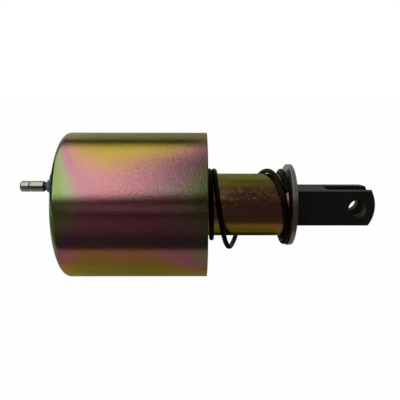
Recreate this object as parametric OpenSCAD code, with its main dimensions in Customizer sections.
// Pull solenoid with a sprung plunger and a fork end.
// Millimetres. X runs along the plunger towards the fork, Z is up, and the
// origin is the centre of the can's front face. The fork's slot stands upright.

/* [Can] */
// Outside diameter of the drawn can
can_d = 51; // [50:0.5:54]
// Length of the can, from its closed rear to its rolled front rim
can_len = 49; // [47:0.2:53]
// Thickness of the can's steel
can_wall = 1.6; // [1.2:0.1:1.8]
// Radius round the can's closed rear edge
can_corner = 2; // [1:0.25:2.5]

/* [Plunger] */
// Diameter of the plunger
plunger_d = 22.2; // [21:0.1:22.6]
// Distance from the can to the plunger's front face, released
reach = 28; // [26:0.1:32]
// Travel from released to fully pulled in
stroke = 19; // [10:0.5:20]
// Length of the plunger inside the can, up to its cone, released
grip = 12; // [10:0.5:12.5]

/* [Spring and its washer] */
// Diameter of the spring wire
wire_d = 1.7; // [1.2:0.05:1.8]
// Turns in the spring, end turns counted
spring_turns = 3.18; // [3.1:0.01:3.3]
// Diameter of the washer that the spring pushes on
washer_d = 28.9; // [28:0.1:30]
// Space for the washer between the plunger and the fork
washer_seat = 2; // [1.8:0.1:2.4]

/* [Fork] */
// Side of the fork's square bar
fork_side = 12.3; // [12:0.1:13]
// Length of the square bar, to the crown of its domed end
fork_len = 29.9; // [28:0.1:34]
// Radius of the dome turned on the end of the bar
fork_dome = 12.5; // [11:0.5:16]
// Width of the slot between the two ears
slot_w = 6.4; // [5:0.1:7]
// Depth of the slot, from the crown of the dome
slot_depth = 17.4; // [16:0.1:19]
// Diameter of the pin hole
pin_hole_d = 6.1; // [5:0.1:6.5]
// Distance from the pin hole to the crown of the dome
pin_hole_back = 7.5; // [7:0.1:9]
// Chamfer round each mouth of the pin hole
pin_hole_chamfer = 0.5; // [0.2:0.1:0.6]

/* [Terminal] */
// Diameter of the bullet terminal
terminal_d = 3.5; // [3.4:0.05:3.8]
// Distance from the rear of the can to the terminal's tip
terminal_out = 11.5; // [11:0.1:14]
// Distance from the can's axis to the terminal's axis
terminal_r = 17; // [16.5:0.1:17.2]
// Place of the terminal round the can, turned up from +Y
terminal_angle = 146; // [0:1:359]

/* [Mounting] */
// Circle that the two tapped holes in the front plate lie on
screw_circle = 36; // [35:0.5:38]
// Drilled diameter of those holes, which take an M5 tap
screw_hole_d = 4.2; // [4:0.1:4.4]

/* [Hidden] */
$fn = 96;
cut = 0.1;            // how far a cutting shape passes the face that it opens
seat = 0.02;          // radial gap between two pieces that are fitted and stay put
slip = 0.05;          // gap on each side of a piece that slides or turns

can_r = can_d / 2;
can_bore = can_r - can_wall;
can_rear = -can_len;
can_floor = can_rear + can_wall;
rim_chamfer = 1.2;    // the front plate's edge, over which the can's rim is rolled
rim_round = 0.6;

plate_t = 5;
plate_back = -plate_t;
tube_in = plunger_d / 2 + slip;
tube_wall = 0.5;
tube_out = tube_in + tube_wall;
tube_flare = 0.6;
plate_bore = tube_out + seat;

rear_plate_t = 3;
rear_plate_front = can_floor + rear_plate_t;
rear_plate_r = 21.5;
core_r = tube_in - seat;
core_neck_r = 6;
rivet_r = 4;
rivet_head_r = 5.6;
rivet_head_t = 1;

cone_mouth_r = plunger_d / 2 - 0.5;
cone_tip_r = 5.6;
cone_len = 6;
shim_t = 0.4;
shim_r = cone_tip_r - 0.3;
plunger_back = -grip;
core_face = plunger_back - stroke - shim_t;
core_cone_end = core_face - cone_len;

fibre_t = 0.5;
wave_room = 0.9;
wave_t = 0.4;
wave_height = 0.2;
bobbin_rear = rear_plate_front + fibre_t;
bobbin_front = plate_back - wave_room;
bobbin_bore = tube_out + 0.03;
bobbin_tube = 1.1;
bobbin_flange_r = 23.5;
bobbin_flange_t = 1.5;
winding_in = bobbin_bore + bobbin_tube;
winding_out = 21.2;
winding_rear = bobbin_rear + bobbin_flange_t;
winding_front = bobbin_front - bobbin_flange_t;
tape_out = winding_out + 0.4;

lead_r = 0.6;
lead_ring = 22.7;     // the leads run between the taped winding and the can
lead_notch_w = 2.2;
lead_start_x = -40;
lead_bend = 0.8;
lead_cross_x = rear_plate_front - 0.8;
earth_angle = terminal_angle + 180;

stub_r = 2.05;        // the insulated stub that carries the terminal
stub_in = can_floor + 1.2;
stub_out = can_rear - 2.9;
stub_nose = 0.7;
strand_r = 0.45;
strand_ring = 0.925;     // the outer strands just fill the terminal's bore
strand_in = 1.5;
grommet_neck_r = 3.95;
grommet_hole_r = 4;
grommet_flange_r = 5.3;
grommet_flange_t = 1;
plate_slot_w = 2 * grommet_flange_r + 1;

terminal_tip = can_rear - terminal_out;
terminal_mouth = can_rear - 3.9;
terminal_wall = 0.35;
terminal_shoulder = 0.8;
terminal_groove_x = can_rear - 8.3;
terminal_groove_w = 0.5;
terminal_groove_t = 0.2;
terminal_seam_w = 0.25;

shank_r = 4;
shank_len = 16;
shank_hole = shank_len + 2;
washer_t = 1.6;
washer_front = reach + washer_seat - slip;
washer_back = washer_front - washer_t;
washer_hole_r = shank_r + 0.1;
washer_round = 0.15;
plunger_chamfer = 0.75;
fork_back = reach + washer_seat;
fork_tip = fork_back + fork_len;
pin_hole_x = fork_tip - pin_hole_back;
slot_end = fork_tip - slot_depth;

spring_first = wire_d / 2 + 0.05;
spring_last = washer_back - wire_d / 2 - 0.05;
spring_end_r = plunger_d / 2 + wire_d / 2 + 0.14;    // the turn that sits on the can
spring_mid_r = spring_end_r + 1.5;     // the open turn
spring_front_r = spring_end_r + 0.56;  // the turn that sits on the washer
spring_lead = wire_d + 0.05;           // pitch of the closed turns
spring_open_from = 1.11;   // the turns between which the spring opens out
spring_open_to = 2.45;
spring_lean = 0.9;         // how far the front turn's top leans back from the washer
spring_drop_end = 0;       // the loose turns hang off the plunger's axis
spring_drop_mid = 1.51;
spring_drop_front = 0.62;
spring_start = 77;         // direction of the wire's first end, turned up from +Y
spring_steps = 24;         // rings of the wire in one turn
wire_sides = 10;

// ---------------------------------------------------------------- helpers

// Puts a shape that is built along Z along X instead.
module along_x(x = 0) translate([x, 0, 0]) rotate([0, 90, 0]) children();

// A plain round bar between two places on the X axis.
module rod(x0, x1, r) along_x(x0) cylinder(h = x1 - x0, r = r);

// A tube between two places on the X axis.
module ring(x0, x1, r_in, r_out) {
    difference() {
        rod(x0, x1, r_out);
        rod(x0 - cut, x1 + cut, r_in);
    }
}

// A cone between two places on the X axis.
module taper(x0, x1, r0, r1) along_x(x0) cylinder(h = x1 - x0, r1 = r0, r2 = r1);

// A rectangle with four round corners, exact arcs.
module soft_rect(x0, y0, x1, y1, f) {
    translate([x0 + f, y0]) square([x1 - x0 - 2 * f, y1 - y0]);
    translate([x0, y0 + f]) square([x1 - x0, y1 - y0 - 2 * f]);
    for (x = [x0 + f, x1 - f], y = [y0 + f, y1 - f]) translate([x, y]) circle(r = f, $fn = 32);
}

// A ring with all its edges rounded.
module soft_ring(x0, x1, r_in, r_out, f) {
    rotate([0, 90, 0]) rotate_extrude() soft_rect(r_in, x0, r_out, x1, f);
}

// Moves a shape from the axis out to the terminal's place.
module at_terminal() {
    translate([0, terminal_r * cos(terminal_angle), terminal_r * sin(terminal_angle)]) children();
}

// Turns a shape made on the +Y side round the axis, up from +Y.
module turned(angle) rotate([angle, 0, 0]) children();

function unit(v) = v / norm(v);
function tangent(path, i) =
    unit(path[min(i + 1, len(path) - 1)] - path[max(i - 1, 0)]);
function section(c, t, ref, r, sides) =
    let (side = unit(cross(t, ref)), up = cross(side, t))
    [for (k = [0 : sides - 1]) c + r * (cos(360 * k / sides) * side + sin(360 * k / sides) * up)];

// A round wire along a list of points. ref is never parallel to the wire.
module wire(path, ref, r, sides) {
    n = len(path);
    points = [for (i = [0 : n - 1], p = section(path[i], tangent(path, i), ref, r, sides)) p];
    walls = [for (i = [0 : n - 2], k = [0 : sides - 1])
        let (a = i * sides + k, b = i * sides + (k + 1) % sides)
        each [[a, b, b + sides], [a, b + sides, a + sides]]];
    first_cap = [[for (k = [sides - 1 : -1 : 0]) k]];
    last_cap = [[for (k = [0 : sides - 1]) (n - 1) * sides + k]];
    polyhedron(points, concat(first_cap, walls, last_cap));
}

// Points of a quarter bend in the X-Y plane from angle a0 to a1.
function bend(cx, cy, r, a0, a1, steps = 4) =
    [for (i = [0 : steps]) let (a = a0 + (a1 - a0) * i / steps) [cx + r * cos(a), cy + r * sin(a), 0]];

// ---------------------------------------------------------------- housing

// The drawn cup, its front rim rolled over the front plate's chamfer.
module can_shell() color("DarkKhaki") difference() {
    rotate([0, 90, 0]) rotate_extrude() difference() {
        can_outline();
        translate([0, can_floor]) square([can_bore, -can_floor - rim_chamfer]);
        translate([0, -rim_chamfer - cut]) square([can_bore - rim_chamfer, rim_chamfer + 2 * cut]);
        polygon([[0, -rim_chamfer - cut], [can_bore, -rim_chamfer - cut], [can_bore, -rim_chamfer],
                 [can_bore - rim_chamfer, 0], [can_bore - rim_chamfer, cut], [0, cut]]);
    }
    rod(can_rear - cut, can_floor + cut, rivet_r + seat);
    at_terminal() rod(can_rear - cut, can_floor + cut, grommet_hole_r);
}

// Half section of the solid cup: a square edge in front softened, a full radius behind.
module can_outline() {
    square_r = can_r - can_corner;
    translate([0, can_rear + can_corner]) square([can_r, can_len - can_corner - rim_round]);
    translate([0, can_rear]) square([square_r, can_corner + cut]);
    translate([square_r, can_rear + can_corner]) circle(r = can_corner, $fn = 48);
    translate([0, -rim_round - cut]) square([can_r - rim_round, rim_round + cut]);
    translate([can_r - rim_round, -rim_round]) circle(r = rim_round, $fn = 32);
}

// The front pole plate, tapped for two mounting screws.
module front_plate() color("DarkGoldenrod") difference() {
    union() {
        rod(plate_back, -rim_chamfer, can_bore - seat);
        taper(-rim_chamfer, 0, can_bore - seat, can_bore - rim_chamfer - seat);
    }
    rod(plate_back - cut, cut, plate_bore);
    taper(-tube_flare, cut, plate_bore, plate_bore + tube_flare + cut);
    for (side = [-1, 1]) translate([0, side * screw_circle / 2, 0])
        rod(plate_back - cut, cut, screw_hole_d / 2);
}

// The rear pole plate, slotted where the lead comes in.
module rear_plate() color("Gray") difference() {
    ring(can_floor, rear_plate_front, core_neck_r + seat, rear_plate_r);
    turned(terminal_angle) translate([can_floor - cut, terminal_r - grommet_flange_r - 0.5, -plate_slot_w / 2])
        cube([rear_plate_t + 2 * cut, can_r, plate_slot_w]);
}

// The fixed core: a coned seat in front and a spigot riveted over behind the can.
module fixed_core() color("Silver") {
    difference() {
        rod(rear_plate_front, core_face, core_r);
        taper(core_cone_end, core_face, cone_tip_r, cone_mouth_r);
        rod(core_face - cut, core_face + cut, cone_mouth_r);
    }
    rod(can_floor, rear_plate_front, core_neck_r);
    rod(can_rear, can_floor, rivet_r);
    soft_disc(can_rear - rivet_head_t, can_rear, rivet_head_r);
}

// A riveted head: flat against the can, its outer edge rounded.
module soft_disc(x0, x1, r) {
    round_r = (x1 - x0) * 0.7;
    rotate([0, 90, 0]) rotate_extrude() {
        translate([0, x0]) square([r - round_r, x1 - x0]);
        translate([0, x0 + round_r]) square([r, x1 - x0 - round_r]);
        intersection() {
            translate([r - round_r, x0 + round_r]) circle(r = round_r, $fn = 48);
            translate([0, x0]) square([r, x1 - x0]);
        }
    }
}

// The brass tube that the plunger slides in, flared into the front plate.
module guide_tube() color("Gold") difference() {
    union() {
        rod(rear_plate_front, -slip, tube_out);
        taper(-tube_flare, -slip, tube_out, tube_out + tube_flare - slip);
    }
    rod(rear_plate_front - cut, cut, tube_in);
}

// The moulded bobbin, its rear flange notched for the two leads.
module bobbin() color("Ivory") difference() {
    union() {
        ring(bobbin_rear, bobbin_front, bobbin_bore, winding_in);
        ring(bobbin_rear, winding_rear, bobbin_bore, bobbin_flange_r);
        ring(winding_front, bobbin_front, bobbin_bore, bobbin_flange_r);
    }
    for (angle = [terminal_angle, earth_angle]) turned(angle)
        translate([bobbin_rear - cut, tape_out + 0.2, -lead_notch_w / 2])
            cube([bobbin_flange_t + 2 * cut, can_wall + cut + 1, lead_notch_w]);
}

// The copper winding as the ring that its turns fill.
module coil_winding() color("Chocolate")
    ring(winding_rear + slip, winding_front - slip, winding_in + seat, winding_out);

// The tape wrapped over the winding.
module coil_tape() color("Khaki")
    ring(winding_rear + slip, winding_front - slip, winding_out + seat, tape_out);

// The three-waved spring washer that takes up the coil's end play.
module wave_washer() color("SlateGray") {
    steps = 72;
    mid = plate_back - wave_room / 2;
    corners = [[17, -wave_t / 2], [22.5, -wave_t / 2], [22.5, wave_t / 2], [17, wave_t / 2]];
    points = [for (i = [0 : steps - 1], c = corners) let (a = 360 * i / steps)
        [mid + c[1] + wave_height * sin(3 * a), c[0] * cos(a), c[0] * sin(a)]];
    faces = [for (i = [0 : steps - 1], k = [0 : 3])
        let (a = i * 4 + k, b = i * 4 + (k + 1) % 4, j = ((i + 1) % steps) * 4)
        each [[a, j + k, j + (k + 1) % 4], [a, j + (k + 1) % 4, b]]];
    polyhedron(points, faces);
}

// The fibre washer between the bobbin and the rear pole plate.
module rear_fibre_washer() color("Sienna")
    ring(rear_plate_front, bobbin_rear, tube_out + 0.1, tape_out);

// The lead from the winding to the terminal's stub.
module start_lead() color("Red") turned(terminal_angle) {
    path = concat([[lead_start_x, lead_ring, 0]],
        bend(lead_cross_x + lead_bend, lead_ring - lead_bend, lead_bend, 90, 180),
        bend(lead_cross_x - lead_bend, terminal_r + lead_bend, lead_bend, 0, -90),
        [[stub_in + slip, terminal_r, 0]]);
    wire(path, [0, 0, 1], lead_r, 8);
}

// The lead from the winding to the edge of the rear pole plate, which earths it.
module earth_lead() color("Black") turned(earth_angle) {
    path = [[lead_start_x, lead_ring, 0], [lead_cross_x - lead_bend, lead_ring, 0]];
    wire(path, [0, 0, 1], lead_r, 8);
}

// ---------------------------------------------------------------- terminal

// The rubber grommet in the rear of the can.
module rear_grommet() color("DimGray") at_terminal() difference() {
    union() {
        rod(can_rear - slip, can_floor + slip, grommet_neck_r);
        soft_ring(can_rear - grommet_flange_t, can_rear, stub_r, grommet_flange_r, 0.4);
        soft_ring(can_floor, can_floor + grommet_flange_t, stub_r, grommet_flange_r, 0.4);
    }
    rod(can_rear - 2, can_floor + 2, stub_r + seat);
}

// The stub's blue insulation, shrunk to a round nose.
module stub_insulation() color("SteelBlue") at_terminal() difference() {
    union() {
        rod(stub_out + stub_nose, stub_in, stub_r);
        rod(stub_out, stub_out + stub_nose + cut, stub_r - stub_nose);
        rotate([0, 90, 0]) rotate_extrude() translate([stub_r - stub_nose, stub_out + stub_nose])
            intersection() {
                circle(r = stub_nose, $fn = 48);
                translate([-0.5 * stub_nose, -stub_nose]) square([2 * stub_nose, 2 * stub_nose]);
            }
    }
    rod(stub_out - cut, stub_out + strand_in, strand_ring + strand_r + slip);
}

// The conductor's seven strands, bare between the insulation and the terminal.
module stub_strands() color("SaddleBrown") at_terminal() {
    rod(terminal_mouth - strand_in, stub_out + strand_in - slip, strand_r);
    for (k = [0 : 5]) turned(60 * k) translate([0, strand_ring, 0])
        rod(terminal_mouth - strand_in, stub_out + strand_in - slip, strand_r);
}

// The bullet: a tube rolled from sheet, with a domed tip, a detent groove and a seam.
module bullet_terminal() color("Gainsboro") at_terminal() {
    r = terminal_d / 2;
    bore = r - terminal_wall;
    difference() {
        union() {
            rod(terminal_tip + terminal_shoulder, terminal_mouth, r);
            rod(terminal_tip, terminal_tip + terminal_shoulder + cut, r - terminal_shoulder);
            rotate([0, 90, 0]) rotate_extrude()
                translate([r - terminal_shoulder, terminal_tip + terminal_shoulder])
                intersection() {
                    circle(r = terminal_shoulder, $fn = 48);
                    translate([-0.5 * terminal_shoulder, -terminal_shoulder])
                        square([2 * terminal_shoulder, 2 * terminal_shoulder]);
                }
        }
        rod(terminal_tip + 1.2, terminal_mouth + cut, bore);
        ring(terminal_groove_x - terminal_groove_w / 2, terminal_groove_x + terminal_groove_w / 2,
             r - terminal_groove_t, r + cut);
        turned(180) translate([terminal_groove_x, bore - cut, -terminal_seam_w / 2])
            cube([terminal_mouth - terminal_groove_x + cut, terminal_wall + 2 * cut, terminal_seam_w]);
    }
}

// ---------------------------------------------------------------- moving parts

// The thin brass disc that stops the plunger sticking to the core.
module residual_shim() color("Peru") rod(core_cone_end, core_cone_end + shim_t - seat, shim_r);

// The plunger: a coned nose inside, a tapped hole for the fork in front.
module plunger() color("Goldenrod") difference() {
    union() {
        rod(plunger_back, reach - plunger_chamfer, plunger_d / 2);
        taper(reach - plunger_chamfer, reach, plunger_d / 2, plunger_d / 2 - plunger_chamfer);
        taper(plunger_back - cone_len, plunger_back, cone_tip_r, cone_mouth_r);
    }
    rod(reach - shank_hole, reach + cut, shank_r + seat);
}

// The loose steel washer that the return spring pushes on.
module spring_washer() color("LightSlateGray")
    soft_ring(washer_back, washer_front, washer_hole_r, washer_d / 2, washer_round);

// How far a value has come from 0 to 1, eased at both ends.
function eased(t) = let (c = min(1, max(0, t))) c * c * (3 - 2 * c);
function blend3(n, a, b, c) =
    a + (b - a) * eased((n - 0.7) / 0.8) + (c - b) * eased((n - 1.8) / 0.8);
function spring_x(n) =
    let (e = eased((n - spring_open_from) / (spring_open_to - spring_open_from)))
    (spring_first + spring_lead * n) * (1 - e) + spring_last * e
    - (n > 2.5 ? spring_lean * (1 + cos(360 * n)) / 2 : 0);
function spring_point(n) =
    let (a = spring_start + 360 * n, r = blend3(n, spring_end_r, spring_mid_r, spring_front_r),
         drop = blend3(n, spring_drop_end, spring_drop_mid, spring_drop_front))
    [spring_x(n), r * cos(a) - drop * cos(spring_start), r * sin(a) - drop * sin(spring_start)];

// The light return spring: closed end turns and one open turn, loose on the plunger.
module return_spring() color("DarkSlateGray") {
    rings = ceil(spring_turns * spring_steps);
    wire([for (i = [0 : rings]) spring_point(spring_turns * i / rings)], [1, 0, 0],
         wire_d / 2, wire_sides);
}

// The fork: a square bar with a domed end, slotted and drilled across, on a round shank.
module fork() color("DarkSlateGray") {
    half = fork_side / 2;
    rod(fork_back - shank_len, fork_back + cut, shank_r);
    difference() {
        intersection() {
            translate([fork_back, -half, -half]) cube([fork_len, fork_side, fork_side]);
            translate([fork_tip - fork_dome, 0, 0]) fork_dome_body();
        }
        translate([slot_end, -slot_w / 2, -fork_side]) cube([slot_depth + cut, slot_w, 2 * fork_side]);
        translate([pin_hole_x, 0, 0]) rotate([90, 0, 0]) {
            cylinder(h = 2 * fork_side, d = pin_hole_d, center = true);
            for (side = [-1, 1]) mirror([0, 0, side > 0 ? 1 : 0]) translate([0, 0, half - pin_hole_chamfer])
                cylinder(h = 2 * pin_hole_chamfer, d1 = pin_hole_d, d2 = pin_hole_d + 4 * pin_hole_chamfer);
        }
    }
}

// A round bar that ends in the dome: its flat sides lie outside the square bar.
module fork_dome_body() {
    sphere(r = fork_dome, $fn = 128);
    rod(-fork_len, 0, fork_dome);
}

can_shell();
front_plate();
rear_plate();
fixed_core();
guide_tube();
bobbin();
coil_winding();
coil_tape();
wave_washer();
rear_fibre_washer();
start_lead();
earth_lead();
rear_grommet();
stub_insulation();
stub_strands();
bullet_terminal();
residual_shim();
return_spring();
spring_washer();
plunger();
fork();
